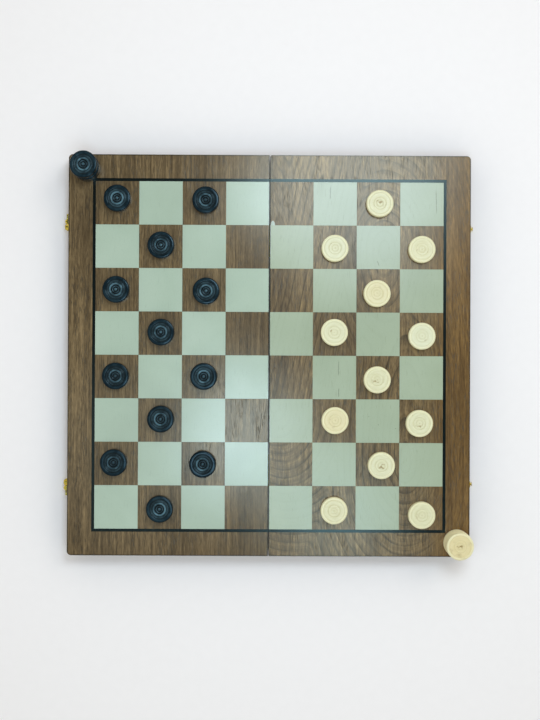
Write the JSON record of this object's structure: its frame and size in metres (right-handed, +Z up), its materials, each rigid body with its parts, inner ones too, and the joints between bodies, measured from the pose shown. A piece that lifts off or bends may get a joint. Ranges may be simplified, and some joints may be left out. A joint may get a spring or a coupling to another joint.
{
  "type": "games compendium box",
  "caption": "Folding wooden games box, open flat with a chequered draughts face up, backgammon points inside, brass hinges and hook clasps, and turned draughtsmen.",
  "frame": {"origin": "under the middle of the seam between the trays, level with the underside of the hinge barrels, with the box open flat and its mouths down", "axes": "+X across the open box towards the right tray, +Y along the seam towards the far end, +Z up out of the playing face"},
  "size_m": [0.4941, 0.4784, 0.0574],
  "materials": {
    "walnut_veneer": "satin lacquered walnut veneer",
    "walnut_rail": "satin lacquered walnut",
    "plywood": "bare plywood",
    "lining_wood": "satin lacquered veneer",
    "pale_paint": "satin pale green-grey printed film over veneer",
    "dark_paint": "satin blue-black printed film over veneer",
    "brass": "bright, lightly aged",
    "dark_wood": "blue-black stained and polished boxwood",
    "light_wood": "natural polished boxwood"
  },
  "bodies": {
    "left_half": {"left_panel": "plywood", "left_veneer": "walnut_veneer", "left_line": "dark_paint", "left_light_squares": "pale_paint", "left_lining": "lining_wood", "left_dark_points": "dark_paint", "left_light_points": "pale_paint", "left_outer_rail": "walnut_rail", "left_hinge_rail": "walnut_rail", "left_far_rail": "walnut_rail", "left_near_rail": "walnut_rail", "far_hinge_left_leaf": "brass", "near_hinge_left_leaf": "brass", "far_hinge_pin": "brass", "near_hinge_pin": "brass", "left_hinge_screws": "brass", "far_clasp_boss": "brass", "far_clasp_pivot": "brass", "near_clasp_boss": "brass", "near_clasp_pivot": "brass"},
    "right_half": {"right_panel": "plywood", "right_veneer": "walnut_veneer", "right_line": "dark_paint", "right_light_squares": "pale_paint", "right_lining": "lining_wood", "right_dark_points": "dark_paint", "right_light_points": "pale_paint", "right_outer_rail": "walnut_rail", "right_hinge_rail": "walnut_rail", "right_far_rail": "walnut_rail", "right_near_rail": "walnut_rail", "far_hinge_right_leaf": "brass", "near_hinge_right_leaf": "brass", "right_hinge_screws": "brass", "far_keeper_boss": "brass", "far_keeper_stud": "brass", "near_keeper_boss": "brass", "near_keeper_stud": "brass"},
    "far_hook": {"far_clasp_hook": "brass"},
    "near_hook": {"near_clasp_hook": "brass"},
    "dark_men": {"dark_draughtsmen": "dark_wood"},
    "light_men": {"light_draughtsmen": "light_wood"},
    "dark_man_bottom": {"dark_stack_bottom": "dark_wood"},
    "dark_man_middle": {"dark_stack_middle": "dark_wood"},
    "dark_man_top": {"dark_stack_top": "dark_wood"},
    "light_man_bottom": {"light_stack_bottom": "light_wood"},
    "light_man_middle": {"light_stack_middle": "light_wood"},
    "light_man_top": {"light_stack_top": "light_wood"}
  },
  "joints": [
    {"name": "board_fold", "type": "hinge", "parent": "left_half", "child": "right_half", "pos_m": [0, 0, 0.0016], "axis": [0, 1, 0], "range_deg": [0, 180]},
    {"name": "clasp_far_swing", "type": "hinge", "parent": "left_half", "child": "far_hook", "pos_m": [-0.2455, 0.1544, 0.0079], "axis": [-1, 0, 0], "range_deg": [0, 90]},
    {"name": "clasp_near_swing", "type": "hinge", "parent": "left_half", "child": "near_hook", "pos_m": [-0.2455, -0.1544, 0.0079], "axis": [1, 0, 0], "range_deg": [0, 90]},
    {"name": "men_dark_lift", "type": "slide", "parent": "left_half", "child": "dark_men", "axis": [0, 0, 1], "range_m": [0, 0.06]},
    {"name": "men_light_lift", "type": "slide", "parent": "right_half", "child": "light_men", "axis": [0, 0, 1], "range_m": [0, 0.06]},
    {"name": "stack_dark_bottom_lift", "type": "slide", "parent": "left_half", "child": "dark_man_bottom", "axis": [0, 0, 1], "range_m": [0, 0.04]},
    {"name": "stack_dark_middle_lift", "type": "slide", "parent": "dark_man_bottom", "child": "dark_man_middle", "axis": [0, 0, 1], "range_m": [0, 0.04]},
    {"name": "stack_dark_top_lift", "type": "slide", "parent": "dark_man_middle", "child": "dark_man_top", "axis": [0, 0, 1], "range_m": [0, 0.04]},
    {"name": "stack_light_bottom_lift", "type": "slide", "parent": "right_half", "child": "light_man_bottom", "axis": [0, 0, 1], "range_m": [0, 0.04]},
    {"name": "stack_light_middle_lift", "type": "slide", "parent": "light_man_bottom", "child": "light_man_middle", "axis": [0, 0, 1], "range_m": [0, 0.04]},
    {"name": "stack_light_top_lift", "type": "slide", "parent": "light_man_middle", "child": "light_man_top", "axis": [0, 0, 1], "range_m": [0, 0.04]}
  ]
}
